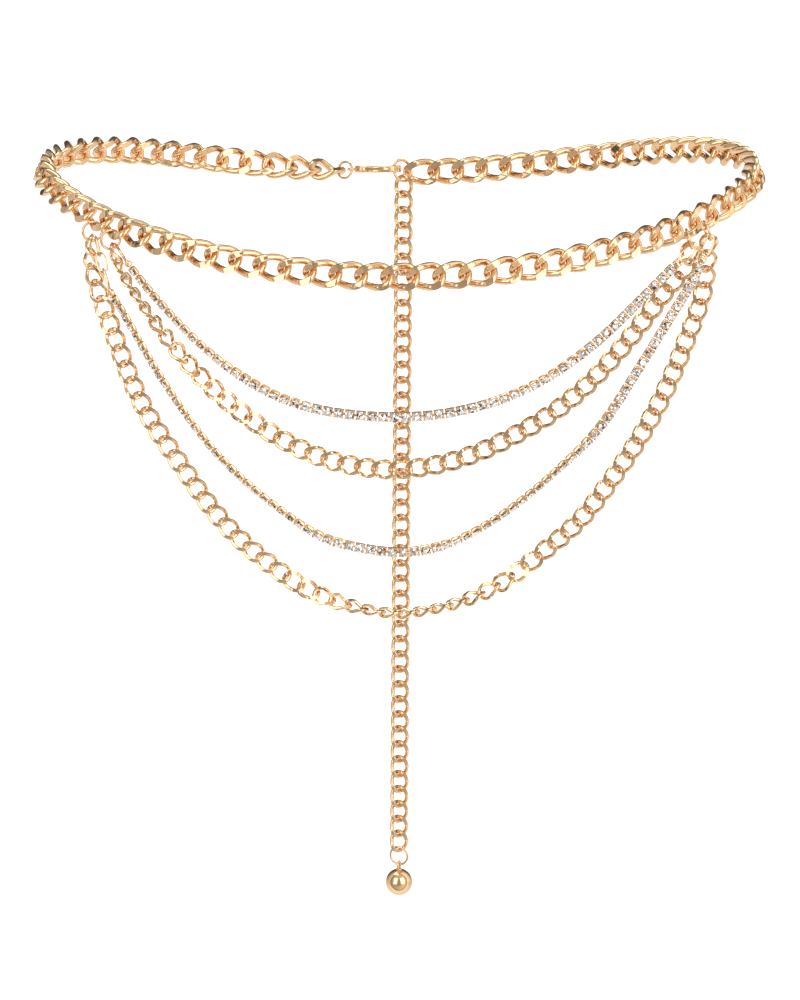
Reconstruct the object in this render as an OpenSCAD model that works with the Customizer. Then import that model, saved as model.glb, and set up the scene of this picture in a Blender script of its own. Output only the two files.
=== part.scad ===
// Waist chain: a curb belt chain fastened at the back, two curb and two cup chain swags, an extender.
// Frame: millimetres, X to the wearer's left, -Y to the front, Z up; the origin is the loop's middle.

/* [Belt loop] */
// Half width of the loop, left to right
belt_half_x = 129.5; // [90:1:170]
// Half depth of the loop, front to back
belt_half_y = 87.5; // [60:1:125]
// Height of the belt at both sides
belt_side_z = 10; // [0:1:20]
// Fall of the belt at the front centre
front_fall = 19; // [0:1:30]
// Fall of the belt at the back centre
back_fall = 21; // [0:1:30]
// Inward lean of the band at both sides, degrees
side_lean = 22; // [0:1:30]

/* [Belt chain] */
// Wire of a belt link
belt_wire = 2.5; // [1.8:0.1:2.6]
// Width of the belt chain
belt_width = 10.1; // [9:0.1:12]
// Thickness of the belt chain over its flats
belt_thick = 4.8; // [3.6:0.1:5.5]
// Wanted spacing of the belt links
belt_spacing = 9.15; // [8.5:0.05:11]

/* [Swags] */
// Place of each inner swag ring, as a share of the belt's round from the front centre
join_share = 0.166; // [0.13:0.002:0.19]
// Depth of the lower swags as a share of the one shown
swag_fall = 1; // [0.8:0.02:1.2]
// Wire of a thin curb link
curb_wire = 1.4; // [1:0.05:1.45]
// Width of the thin curb chain
curb_width = 7.3; // [6:0.1:8]
// Spacing of the thin curb links
curb_spacing = 6.2; // [5.8:0.05:7.5]
// Width of a stone cup
cup_width = 3.8; // [3:0.1:4.2]
// Wire of the loops at a cup chain's ends
loop_wire = 0.8; // [0.6:0.05:0.9]
// Outer diameter of a swag ring
swag_ring_size = 8; // [6.4:0.1:9]
// Wire of a swag ring
swag_ring_wire = 1; // [0.8:0.05:1.1]

/* [Extender] */
// Number of extender links
extender_count = 44; // [20:1:60]
// Wire of an extender link
extender_wire = 1.55; // [1.1:0.05:1.6]
// Width of the extender chain
extender_width = 7.2; // [6.5:0.1:9]
// Spacing of the extender links
extender_spacing = 6.05; // [5.6:0.05:7]
// Lean of the hanging extender, degrees
extender_lean = 0.4; // [0:0.1:2]
// Diameter of the ball
ball_size = 10.4; // [7:0.1:14]
// Outer diameter of the ring above the ball
ball_ring_size = 7.9; // [7:0.1:10]
// Wire of the ring above the ball
ball_ring_wire = 0.9; // [0.7:0.05:1.1]

/* [Clasp] */
// Width of the lobster clasp
clasp_width = 8; // [6:0.1:9]
// Thickness of the lobster clasp
clasp_thick = 2.6; // [2.2:0.1:3.2]
// Outer diameter of the ring between belt and clasp
clasp_ring_size = 7.2; // [6.6:0.1:9]
// Wire of that ring
clasp_ring_wire = 0.9; // [0.7:0.05:1]
// Outer diameter of the ring that the clasp hooks into
end_ring_size = 9.3; // [8:0.1:11]
// Wire of that ring
end_ring_wire = 1.1; // [0.9:0.05:1.3]

/* [Hidden] */
gap = 0.15;
// Room left where two curved wires cross
hang = 0.28;
$fn = 48;

// A frame is [point, along, up, out]; along x up = out.
function unit(v) = v / norm(v);
function xyz(p) = [p[0], p[1], p[2]];
function frame(p, along, out, roll) =
    let (a = unit(along), w0 = unit(out - (out * a) * a), v0 = cross(w0, a))
    let (w = cos(roll) * w0 + sin(roll) * v0)
    [p, a, cross(w, a), w];
function turned(f, a) = [f[0], f[1], cos(a) * f[2] - sin(a) * f[3], cos(a) * f[3] + sin(a) * f[2]];
function local(f, p) = f[0] + p[0] * f[1] + p[1] * f[2] + p[2] * f[3];

// Running length of a list of points beside the parameter of each.
function runs(points, span) = let (last = len(points) - 1)
    [for (i = 0, s = 0; i <= last; s = s + norm(points[min(i + 1, last)] - points[i]), i = i + 1)
        [s, span * i / last]];

// Smooth curve through a route's rows [x, y, z, roll]; u counts the rows.
function curve(route, u) = let (last = len(route) - 1, i = min(last - 1, floor(u)), f = u - i)
    let (a = route[max(0, i - 1)], b = route[i], c = route[i + 1], d = route[min(last, i + 2)])
    0.5 * (2 * b + (c - a) * f + (2 * a - 5 * b + 4 * c - d) * f ^ 2 + (3 * b - a - 3 * c + d) * f ^ 3);
function route_runs(route) = let (n = 10 * (len(route) - 1))
    runs([for (i = [0:n]) xyz(curve(route, i / 10))], len(route) - 1);
function route_length(table) = table[len(table) - 1][0];
// The frame of a stiff piece that reaches the same way to both sides of its place on a route
function route_frame(route, table, s, reach) =
    let (p = curve(route, lookup(s, table)))
    let (q = xyz(curve(route, lookup(s - reach, table))), r = xyz(curve(route, lookup(s + reach, table))))
    frame((q + r) / 2, r - q, [0, -1, 0], p[3]);

link_steps = 12;
fine_steps = 10;
wire_sides = 5;
corner = 0.9;
twist_share = 0.78;
function sharp(x) = sign(x) * abs(x) ^ corner;
function twist(a) = sin(2 * a) - 0.1 * sin(4 * a);
function link_mid(half, rise, a) = [half[0] * sharp(cos(a)), half[1] * sharp(sin(a)), -rise * twist(a)];
function link_shell(size, wire, rise, thick, steps) =
    let (half = [(size[0] - wire) / 2, (size[1] - wire) / 2])
    [for (i = [0:steps - 1]) let (a = 360 * i / steps, c = link_mid(half, rise, a))
        let (t = unit(link_mid(half, rise, a + 2) - link_mid(half, rise, a - 2)))
        let (n = unit(cross(t, [0, 0, 1])), m = cross(n, t))
        for (j = [0:wire_sides - 1]) let (b = 360 * j / wire_sides)
        let (p = c + wire / 2 * (cos(b) * n + sin(b) * m))
        [p[0], p[1], max(-thick / 2, min(thick / 2, p[2]))]];
function band_faces(rings, sides, first, closed) =
    [for (i = [0:rings - (closed ? 1 : 2)], j = [0:sides - 1])
        let (k = (i + 1) % rings, l = (j + 1) % sides)
        let (a = first + i * sides + j, b = first + i * sides + l)
        let (c = first + k * sides + l, d = first + k * sides + j)
        each [[a, b, c], [a, c, d]]];
function cap_faces(rings, sides, first) = let (end = first + (rings - 1) * sides)
    [for (j = [1:sides - 2]) each [[first, first + j + 1, first + j], [end, end + j, end + j + 1]]];
function placed(shell, f) = [for (p = shell) local(f, p)];
function chain_points(shell, frames) = [for (f = frames) each placed(shell, f)];
function chain_faces(count, steps) =
    [for (k = [0:count - 1]) each band_faces(steps, wire_sides, k * steps * wire_sides, true)];

// A tube of oval rings along a route, from s0 to s1, with tapered ends.
tube_sides = 8;
function tube_shell(route, table, s0, s1, rings, wide, thick) =
    [for (i = [0:rings - 1]) let (s = s0 + (s1 - s0) * i / (rings - 1), f = route_frame(route, table, s, 0.4))
        let (taper = i == 0 || i == rings - 1 ? 0.6 : 1)
        for (j = [0:tube_sides - 1]) let (b = 360 * (j + 0.5) / tube_sides)
        f[0] + taper / cos(180 / tube_sides) / 2 * (thick * cos(b) * f[3] + wide * sin(b) * f[2])];

belt_play = 0.5;
belt_out = [for (t = [-180:0.5:180]) belt_at(t)];
belt_table = runs(belt_out, 360);
belt_round = route_length(belt_table);
// Distance along the route of the left and right end links from the back centre
left_end = 27.4;
right_end = 8.5;
belt_gaps = round((belt_round - left_end - right_end) / belt_spacing);
belt_pitch = (belt_round - left_end - right_end) / belt_gaps;
belt_size = [belt_pitch + 2 * belt_wire + belt_play, belt_width];
belt_shell = link_shell(belt_size, belt_wire, twist_share * belt_wire, belt_thick, link_steps);
front_link = round((belt_round / 2 - left_end) / belt_pitch);
join_link = round(belt_gaps * join_share);
// The links next to the clasp lie turned
end_turns = [-75, -60, -45, -30, -15];
function belt_at(t) = [belt_half_x * sin(t), -belt_half_y * cos(t),
    belt_side_z - front_fall * max(0, cos(t)) ^ 1.8 - back_fall * max(0, -cos(t)) ^ 3];
function belt_frame(i) =
    let (t = lookup(left_end + i * belt_pitch, belt_table) - 180)
    let (lean = side_lean * sin(t) ^ 2)
    let (along = belt_at(t + 1) - belt_at(t - 1), level = cross(along, [0, 0, 1]))
    let (roll = i < len(end_turns) ? end_turns[i] : 0)
    frame(belt_at(t), along, level, lean + roll);
belt_frames = [for (i = [0:belt_gaps]) belt_frame(i)];

// The lower wire of a belt link runs askew; a ring on it lies square to that wire.
swag_ring_mid = (swag_ring_size - swag_ring_wire) / 2;
lobe = (belt_width - belt_wire) / 2;
skew = atan2(2 * twist_share * belt_wire, (belt_size[0] - belt_wire) / 2);
function swag_ring_frame(side, step) =
    let (f = belt_frames[front_link + side * (join_link + step)])
    let (axis = cos(skew) * f[1] + sin(skew) * f[3])
    let (drop = lobe - belt_wire / 2 - swag_ring_wire / 2 - gap + swag_ring_mid)
    [f[0] - drop * f[2], cross(f[2], axis), f[2], axis];
// The place of a chain's end wire inside a ring, swung from straight down, for a chain that leaves to a point
function ring_seat(f, wire, swing, leave) = let (w = local(f, swag_ring_mid * [sin(swing), -cos(swing), 0]))
    w - ((swag_ring_wire + wire) / 2 + hang) * unit(leave - w);
left_inner = swag_ring_frame(-1, 0);
left_outer = swag_ring_frame(-1, 1);
right_inner = swag_ring_frame(1, 0);
right_outer = swag_ring_frame(1, 1);

// Rows [x, y, z, roll] from the middle between the rings, in hundredths of half their distance
upper_cup_rows = [[-94, -2.4, -8, -70], [-83, -2.4, -22, -70], [-69, -2.4, -37, -70],
    [-55.5, -2.4, -48, -35], [-41.5, -2.4, -56, -35], [-27.5, -2.4, -60.5, 0], [-13.5, -2.4, -62.5, 0],
    [0.5, -2.4, -63, 0], [14, -2.4, -62, 0], [28, -2.4, -59, 0], [41.5, -2.4, -54, -35],
    [55.5, -2.4, -46, -35], [69.5, -2.4, -35, 0], [83, -2.4, -21.5, 0], [95, -2.4, -9, 0]];
upper_curb_rows = [[-96.6, 2, -11.6, 85], [-88.3, 1.4, -25.2, 85], [-75, 1, -43, 50],
    [-63, 1, -55.5, 30], [-49, 1, -67, 15], [-34.5, 1, -75.5, 0], [-21, 1, -80.5, 0],
    [-3.5, 1, -83, 0], [14, 1, -81, 0], [28, 1, -76.5, 0], [42, 1, -69.5, 0], [56, 1, -60.5, 0],
    [69.5, 1, -48, 0], [83, 1, -31.5, 0], [91.5, 1, -19.5, 0], [100.5, 1, -8.5, 0]];
lower_cup_rows = [[-95, -4.6, -16.8, -75], [-89, -3.4, -28.5, -75], [-78, -2.7, -48.5, -75],
    [-65, -2.7, -68, -75], [-52.5, -2.7, -82, -75], [-39, -2.7, -93.5, -75], [-26, -2.7, -102.5, -35],
    [-13, -2.7, -106.5, 0], [0.5, -2.7, -108, 0], [13, -2.7, -106, -30], [26, -2.7, -100, -65],
    [39, -2.7, -91, -65], [52, -2.7, -79.5, -65], [65.5, -2.7, -65.5, -30], [78.5, -2.7, -45, 0],
    [88.6, -2.7, -27.8, 0], [95.4, -2.7, -15.9, 0]];
lower_curb_rows = [[-100.5, 4.4, -14.1, -36], [-93.2, 2.6, -36.4, 0], [-84.5, 0.9, -58.5, 0],
    [-72, 0.9, -79, 0], [-57.5, 0.9, -99.5, 0], [-40.5, 0.9, -115, 0], [-26, 0.9, -124, 45],
    [-9.5, 0.9, -129, 90], [1.5, 0.9, -130, 90], [17.5, 0.9, -127, 90], [33, 0.9, -120, 50],
    [46.5, 0.9, -109.5, 0], [59.5, 0.9, -98, 0], [70.5, 0.9, -83, 0], [80, 0.9, -68, 0],
    [88, 0.9, -52, 0], [94.5, 1.4, -35, 0], [99.5, 3.8, -20.5, 0]];
// A route runs from its seat in the left ring, through its rows, to its seat in the right ring.
function swag_route(rows, rings, wire, swings, rolls) =
    let (mid = (rings[0][0] + rings[1][0]) / 2, part = norm(rings[1][0] - rings[0][0]) / 200)
    let (path = [for (r = rows)
        [mid[0] + r[0] * part, mid[1] + r[1] * part, mid[2] + r[2] * part * swag_fall, r[3]]])
    let (left = ring_seat(rings[0], wire, swings[0], xyz(path[0])))
    let (right = ring_seat(rings[1], wire, swings[1], xyz(path[len(path) - 1])))
    concat([concat(left, [rolls[0]])], path, [concat(right, [rolls[1]])]);

// How far the end wires are swung round the rings, and the rolls there
upper_cup_swings = [57, -10];
upper_cup_rolls = [-85, 15];
upper_curb_swings = [30, 20];
upper_curb_rolls = [135, -60];
lower_cup_swings = [40, -10];
lower_cup_rolls = [-75, 0];
lower_curb_swings = [10, 20];
lower_curb_rolls = [-86, -30];
inner = [left_inner, right_inner];
outer = [left_outer, right_outer];
upper_cup = swag_route(upper_cup_rows, inner, loop_wire, upper_cup_swings, upper_cup_rolls);
upper_curb = swag_route(upper_curb_rows, inner, curb_wire, upper_curb_swings, upper_curb_rolls);
lower_cup = swag_route(lower_cup_rows, outer, loop_wire, lower_cup_swings, lower_cup_rolls);
lower_curb = swag_route(lower_curb_rows, outer, curb_wire, lower_curb_swings, lower_curb_rolls);

// Thin curb: its spacing is set so that a whole number of links fills the route.
curb_play = 0.35;
curb_thick = 2.5;
function curb_gaps(length) = round((length - curb_wire - curb_play) / curb_spacing) - 1;
function curb_pitch(length) = (length - curb_wire - curb_play) / (curb_gaps(length) + 1);
function curb_size(length) = [curb_pitch(length) + 2 * curb_wire + curb_play, curb_width];
function curb_frame(route, table, i) = let (length = route_length(table), pitch = curb_pitch(length))
    let (half = (curb_size(length)[0] - curb_wire) / 2)
    route_frame(route, table, half + i * pitch, half);

// Cup chain: loops lead from the ring to the first cup.
loop_size = [8, 4.2];
loop_play = 0.4;
loop_half = (loop_size[0] - loop_wire) / 2;
loop_spacing = loop_size[0] - 2 * loop_wire - loop_play;
function lead_length(count) = 2 * loop_half + (count - 1) * loop_spacing + loop_wire / 2 + gap;
function loop_frame(route, table, s, i) = turned(route_frame(route, table, s, loop_half), 90 * i);
function lead_frames(route, table, counts) = let (end = route_length(table) - loop_half)
    concat([for (i = [0:counts[0] - 1]) loop_frame(route, table, loop_half + i * loop_spacing, i)],
        [for (i = [0:counts[1] - 1]) loop_frame(route, table, end - i * loop_spacing, i)]);

extender_play = 0.35;
extender_thick = 3;
extender_size = [extender_spacing + 2 * extender_wire + extender_play, extender_width];
extender_half = (extender_size[0] - extender_wire) / 2;

end_ring_axis = unit([0.6, -0.7, 0.38]);
end_ring_mid = (end_ring_size - end_ring_wire) / 2;
clasp_ring_axis = unit([0.55, 0.75, -0.35]);
clasp_ring_mid = (clasp_ring_size - clasp_ring_wire) / 2;
belt_half = (belt_size[0] - belt_wire) / 2;
function in_plane(v, n) = unit(v - (v * n) * n);
first_link = belt_frames[0];
last_link = belt_frames[belt_gaps];
end_seat = local(last_link, [belt_half - (belt_wire + end_ring_wire) / 2 - hang, 0, 0]);
end_ring_to_clasp = in_plane(last_link[1], end_ring_axis);
end_ring_place = end_seat + end_ring_mid * end_ring_to_clasp;
hook_place = end_ring_place + end_ring_mid * end_ring_to_clasp;
clasp_seat = local(first_link, [(belt_wire + clasp_ring_wire) / 2 + gap - belt_half, 0, 0]);
clasp_ring_to_clasp = in_plane(-first_link[1], clasp_ring_axis);
clasp_ring_place = clasp_seat + clasp_ring_mid * clasp_ring_to_clasp;
eye_place = clasp_ring_place + clasp_ring_mid * clasp_ring_to_clasp;
function ring_frame(p, axis) = frame(p, cross(axis, [0, 0, 1]), axis, 0);
end_ring_down = in_plane([0, 0, -1], end_ring_axis);
extender_seat = end_ring_place
    + (end_ring_mid - (end_ring_wire + extender_wire) / 2 - 2 * hang) * end_ring_down;
extender_down = [-sin(extender_lean), 0, -cos(extender_lean)];
function extender_frame(i) = frame(extender_seat + (extender_half + i * extender_spacing) * extender_down,
    extender_down, [0, -1, 0], 0);
extender_end = extender_seat + (2 * extender_half + (extender_count - 1) * extender_spacing) * extender_down;
ball_ring_mid = (ball_ring_size - ball_ring_wire) / 2;
ball_ring_place = extender_end + [0, 0, (extender_wire + ball_ring_wire) / 2 + hang - ball_ring_mid];
ball_ring_turn = -20;
ball_eye_mid = 1.4;
ball_eye_wire = 0.9;
ball_eye_place = ball_ring_place
    - [0, 0, ball_ring_mid + ball_eye_mid - (ball_eye_wire + ball_ring_wire) / 2 - gap];
ball_neck = 1.1;
ball_place = ball_eye_place - [0, 0, ball_eye_mid + ball_size / 2 + 0.2];

// Clasp frame: along from the eye to the hook, up to the back, out upward; the lever is on the front side.
clasp_frame = frame(eye_place, hook_place - eye_place, [0, 0.25, 1], 0);
clasp_reach = norm(hook_place - eye_place);
clasp_bar = 1.5;
clasp_eye_mid = 1.2;
clasp_eye_wire = 1;
clasp_start = 1.3;
hook_inside = clasp_reach + end_ring_wire / 2 + 0.8;
hook_end = hook_inside + clasp_bar;
opening_half = clasp_width / 2 - clasp_bar;
root_length = 5;
opening_start = clasp_start + root_length;
hook_tip = hook_end - clasp_width / 2 - 0.2;
pin_inset = 3.2;
lever_root = [clasp_start + pin_inset, 0.4 * -clasp_width / 2];
lever_thick = 1;
lever_slot = lever_thick + 0.24;
lever_slot_end = opening_start + 0.7;
pin_radius = 0.5;
pin_play = 0.05;

module at_frame(f) {
    multmatrix([for (i = [0:2]) [f[1][i], f[2][i], f[3][i], f[0][i]]]) children();
}

module wire_ring(size, wire) {
    rotate_extrude() translate([(size - wire) / 2, 0]) circle(d = wire);
}

module belt_chain() {
    color("goldenrod") polyhedron(chain_points(belt_shell, belt_frames),
        chain_faces(belt_gaps + 1, link_steps), convexity = 10);
}

// End pieces of one shell, and a tube between them
module swag(shell, frames, steps, tube, rings) {
    count = len(frames) * len(shell);
    polyhedron(concat(chain_points(shell, frames), tube), concat(chain_faces(len(frames), steps),
        band_faces(rings, tube_sides, count, false), cap_faces(rings, tube_sides, count)), convexity = 10);
}

module curb_swag(route, rings) {
    table = route_runs(route);
    length = route_length(table);
    size = curb_size(length);
    shell = link_shell(size, curb_wire, twist_share * curb_wire, curb_thick, fine_steps);
    frames = [curb_frame(route, table, 0), curb_frame(route, table, curb_gaps(length))];
    s0 = size[0] - curb_wire / 2 + gap + hang;
    swag(shell, frames, fine_steps,
        tube_shell(route, table, s0, length - s0, rings, curb_width, curb_thick), rings);
}

module cup_swag(route, counts, rings) {
    table = route_runs(route);
    length = route_length(table);
    shell = link_shell(loop_size, loop_wire, 0, loop_wire, fine_steps);
    swag(shell, lead_frames(route, table, counts), fine_steps, tube_shell(route, table,
        lead_length(counts[0]), length - lead_length(counts[1]), rings, cup_width, cup_width), rings);
}

module upper_cup_swag() {
    color("whitesmoke") cup_swag(upper_cup, [1, 1], 25);
}

module upper_curb_swag() {
    color("goldenrod") curb_swag(upper_curb, 28);
}

module lower_cup_swag() {
    color("whitesmoke") cup_swag(lower_cup, [3, 1], 30);
}

module lower_curb_swag() {
    color("goldenrod") curb_swag(lower_curb, 36);
}

module swag_ring(f) {
    color("gold") at_frame(f) wire_ring(swag_ring_size, swag_ring_wire);
}

module clasp_ring() {
    color("gold") at_frame(ring_frame(clasp_ring_place, clasp_ring_axis))
        wire_ring(clasp_ring_size, clasp_ring_wire);
}

module end_ring() {
    color("gold") at_frame(ring_frame(end_ring_place, end_ring_axis)) wire_ring(end_ring_size, end_ring_wire);
}

// A long oval of the given half width between two places on the long axis
module oval(x0, x1, half, height) {
    linear_extrude(height, center = true) {
        translate([x0 + half, 0]) circle(half);
        translate([x1 - half, 0]) circle(half);
        translate([x0 + half, -half]) square([x1 - x0 - 2 * half, 2 * half]);
    }
}

module clasp_body() {
    color("goldenrod") at_frame(clasp_frame) {
        wire_ring(2 * clasp_eye_mid + clasp_eye_wire, clasp_eye_wire);
        difference() {
            oval(clasp_start, hook_end, clasp_width / 2, clasp_thick);
            oval(opening_start, hook_inside, opening_half, clasp_thick + 1);
            translate([lever_slot_end, -clasp_width, -clasp_thick])
                cube([hook_tip - lever_slot_end, clasp_width - opening_half + 0.3, 2 * clasp_thick]);
            translate([clasp_start + 0.9, -clasp_width, -lever_slot / 2])
                cube([lever_slot_end - clasp_start, clasp_width - 0.2, lever_slot]);
        }
        translate(lever_root) cylinder(clasp_thick, r = pin_radius, center = true);
    }
}

module clasp_lever() {
    tip = hook_tip - 0.2;
    top = -opening_half - 0.05;
    low = -clasp_width / 2;
    thumb = [lever_root[0] - 1.1, low - 0.1];
    color("goldenrod") at_frame(clasp_frame) difference() {
        union() {
            translate(lever_root) cylinder(lever_thick, r = 1.15, center = true);
            translate(thumb) cylinder(lever_thick, r = 0.9, center = true);
            linear_extrude(lever_thick, center = true) polygon([lever_root + [-0.4, 1], lever_root + [1, 0.5],
                [lever_slot_end + 0.2, top], [tip, top], [tip, top - 0.5], [tip - 0.4, low + 0.5],
                [tip - 1.2, low], [lever_root[0] + 0.6, low], thumb + [0.3, -0.6], thumb + [-0.7, 0.2]]);
        }
        translate(lever_root) cylinder(lever_thick + 1, r = pin_radius + pin_play, center = true);
    }
}

module extender_chain() {
    shell = link_shell(extender_size, extender_wire, twist_share * extender_wire, extender_thick, fine_steps);
    color("goldenrod") polyhedron(
        chain_points(shell, [for (i = [0:extender_count - 1]) extender_frame(i)]),
        chain_faces(extender_count, fine_steps), convexity = 10);
}

module ball_ring() {
    color("gold") translate(ball_ring_place) rotate([90, 0, ball_ring_turn])
        wire_ring(ball_ring_size, ball_ring_wire);
}

module ball_drop() {
    color("gold") {
        translate(ball_place) sphere(d = ball_size, $fn = 96);
        translate(ball_place + [0, 0, ball_size / 2 - 0.4])
            cylinder(ball_eye_place[2] - ball_place[2] - ball_size / 2 - ball_eye_mid + 0.6, r = ball_neck);
        translate(ball_eye_place) rotate([0, 90, ball_ring_turn])
            wire_ring(2 * ball_eye_mid + ball_eye_wire, ball_eye_wire);
    }
}

belt_chain();
upper_cup_swag();
upper_curb_swag();
lower_cup_swag();
lower_curb_swag();
swag_ring(left_inner);  // swag_ring_left_inner
swag_ring(left_outer);  // swag_ring_left_outer
swag_ring(right_inner);  // swag_ring_right_inner
swag_ring(right_outer);  // swag_ring_right_outer
clasp_ring();
clasp_body();
clasp_lever();
end_ring();
extender_chain();
ball_ring();
ball_drop();
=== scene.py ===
"""Waist chain: curb belt, curb and cup chain swags, lobster clasp, extender and ball."""

import bisect
import math

import bpy
from mathutils import Matrix, Vector


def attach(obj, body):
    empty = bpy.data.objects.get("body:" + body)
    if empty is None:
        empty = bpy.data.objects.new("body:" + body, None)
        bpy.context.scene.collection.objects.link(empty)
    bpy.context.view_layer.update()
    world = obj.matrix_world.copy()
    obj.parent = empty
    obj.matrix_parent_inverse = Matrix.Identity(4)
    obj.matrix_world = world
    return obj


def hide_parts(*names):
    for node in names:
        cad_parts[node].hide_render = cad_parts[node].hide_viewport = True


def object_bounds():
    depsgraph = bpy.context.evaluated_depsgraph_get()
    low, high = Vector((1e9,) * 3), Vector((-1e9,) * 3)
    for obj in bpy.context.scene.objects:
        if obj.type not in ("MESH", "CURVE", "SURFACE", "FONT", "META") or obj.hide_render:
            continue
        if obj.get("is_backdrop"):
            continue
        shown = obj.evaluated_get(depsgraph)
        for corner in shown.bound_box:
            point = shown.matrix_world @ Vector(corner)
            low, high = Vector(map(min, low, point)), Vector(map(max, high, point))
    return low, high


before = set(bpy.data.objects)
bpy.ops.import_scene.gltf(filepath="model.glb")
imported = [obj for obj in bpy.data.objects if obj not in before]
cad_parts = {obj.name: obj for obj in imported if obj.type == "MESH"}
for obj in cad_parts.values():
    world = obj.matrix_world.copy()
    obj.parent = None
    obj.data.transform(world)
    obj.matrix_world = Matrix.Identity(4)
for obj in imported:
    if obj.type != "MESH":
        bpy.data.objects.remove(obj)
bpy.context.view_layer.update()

bl_info = {
    "name": "Waist chain",
    "version": (1, 0, 0),
    "blender": (4, 5, 0),
    "location": "View3D > Sidebar > Waist chain",
    "description": "Builds the waist chain over its packed solids, with its stage",
    "category": "Add Mesh",
}

MM = 0.001


def srgb(code):
    """A hex colour turned to linear values"""
    parts = [int(code[i : i + 2], 16) / 255 for i in (1, 3, 5)]
    return [c / 12.92 if c <= 0.04045 else ((c + 0.055) / 1.055) ** 2.4 for c in parts]


def sin(degrees):
    return math.sin(math.radians(degrees))


def cos(degrees):
    return math.cos(math.radians(degrees))


# Sizes in millimetres that the links' places and their shapes share

BELT_WIRE, BELT_WIDTH, BELT_PLAY = 2.5, 10.1, 0.5
CURB_WIRE, CURB_SPACING, CURB_PLAY = 1.4, 6.2, 0.35
EXTENDER_WIRE, EXTENDER_SPACING, EXTENDER_PLAY = 1.55, 6.05, 0.35
LOOP_WIRE = 0.8

# Sizes and colours that a user would change


def length(name, description, millimetres):
    return bpy.props.FloatProperty(
        name=name, description=description, default=millimetres * MM, min=0, precision=4, unit="LENGTH"
    )


def angle(name, description, degrees):
    return bpy.props.FloatProperty(
        name=name, description=description, default=math.radians(degrees), subtype="ANGLE"
    )


def colour(name, description, code):
    return bpy.props.FloatVectorProperty(
        name=name, description=description, default=srgb(code), size=3, min=0, max=1, subtype="COLOR"
    )


class WaistChainLinks(bpy.types.PropertyGroup):
    belt_wire: length("Belt wire", "Wire of a belt link", BELT_WIRE)
    belt_width: length("Belt width", "Width of the belt chain", BELT_WIDTH)
    belt_thick: length("Belt thickness", "Thickness of the belt over its cut flats", 4.8)
    curb_wire: length("Thin curb wire", "Wire of a thin curb link", CURB_WIRE)
    curb_width: length("Thin curb width", "Width of the thin curb chain", 7.3)
    curb_thick: length("Thin curb thickness", "Thickness over the cut flats", 2.5)
    extender_wire: length("Extender wire", "Wire of an extender link", EXTENDER_WIRE)
    extender_width: length("Extender width", "Width of the extender", 7.2)
    extender_thick: length("Extender thickness", "Thickness over the cut flats", 3.0)


class WaistChainCups(bpy.types.PropertyGroup):
    pitch: length("Stone pitch", "Distance from one stone to the next", 4.0)
    cup_width: length("Cup width", "Outer width of a cup", 3.55)
    stone: length("Stone", "Diameter of a stone at its girdle", 3.45)
    shine: colour("Stone", "Light that a foiled stone gives back", "#E9E6DF")


class WaistChainGold(bpy.types.PropertyGroup):
    light: colour("Gold", "Polished plating where it faces the light", "#F6D5A8")
    deep: colour("Warm gold", "Plating where it is thinner and redder", "#EDBF8C")


class WaistChainStage(bpy.types.PropertyGroup):
    floor: colour("Floor", "Paper sweep under the chain", "#FDFDFD")
    distance: length("Camera distance", "Camera to the loop's middle", 2320)
    elevation: angle("Camera elevation", "Camera above the loop's level", 13)


# Where the pieces lie, in millimetres: +X right, -Y front, Z up.
# A frame is point, along, up and out; along x up = out.


def frame_at(point, along, out, roll=0.0):
    along = along.normalized()
    flat = (out - out.dot(along) * along).normalized()
    side = flat.cross(along)
    turned = cos(roll) * flat + sin(roll) * side
    return point, along, turned.cross(along), turned


def spun(seat, degrees):
    """The same frame turned round its own length"""
    point, along, up, out = seat
    return point, along, cos(degrees) * up - sin(degrees) * out, cos(degrees) * out + sin(degrees) * up


def local(seat, x=0.0, y=0.0, z=0.0):
    return seat[0] + x * seat[1] + y * seat[2] + z * seat[3]


def to_world(seat):
    """The matrix that takes a shape from its own millimetre axes to the frame's, in metres"""
    turn = Matrix([[seat[1][i], seat[2][i], seat[3][i]] for i in range(3)]).to_4x4()
    return Matrix.Translation(seat[0] * MM) @ turn


def runs(points, span):
    """Running length of a list of points, beside the parameter of each"""
    marks, done = [], 0.0
    for i, point in enumerate(points):
        if i:
            done += (point - points[i - 1]).length
        marks.append((done, span * i / (len(points) - 1)))
    return marks


def lookup(distance, marks):
    k = min(max(bisect.bisect(marks, (distance,)), 1), len(marks) - 1)
    (s0, u0), (s1, u1) = marks[k - 1], marks[k]
    return u0 + (u1 - u0) * min(max((distance - s0) / (s1 - s0), 0.0), 1.0)


class Route:
    """A smooth route through rows of x, y, z and roll"""

    def __init__(self, rows):
        self.rows = [Vector(row) for row in rows]
        steps = 10 * (len(rows) - 1)
        self.marks = runs([self.point(i / 10).xyz for i in range(steps + 1)], len(rows) - 1)
        self.length = self.marks[-1][0]

    def point(self, u):
        last = len(self.rows) - 1
        i = min(last - 1, int(u))
        f = u - i
        a, b, c, d = (self.rows[min(max(k, 0), last)] for k in range(i - 1, i + 3))
        return 0.5 * (
            2 * b + (c - a) * f + (2 * a - 5 * b + 4 * c - d) * f**2 + (3 * b - a - 3 * c + d) * f**3
        )

    def place(self, s):
        return self.point(lookup(s, self.marks))

    def frame(self, s, reach):
        before, after = self.place(s - reach).xyz, self.place(s + reach).xyz
        return frame_at((before + after) / 2, after - before, Vector((0, -1, 0)), self.place(s)[3])


BELT_HALF_X, BELT_HALF_Y = 129.5, 87.5
BELT_SIDE_Z, FRONT_FALL, BACK_FALL, SIDE_LEAN = 10, 19, 21, 22
LEFT_END, RIGHT_END, BELT_SPACING = 27.4, 8.5, 9.15
END_TURNS = [-75, -60, -45, -30, -15]
TWIST_SHARE = 0.78
# A modelled link is shorter than its simple solid by this share of the wire, so that the knots close
SNUG = 0.12


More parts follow.
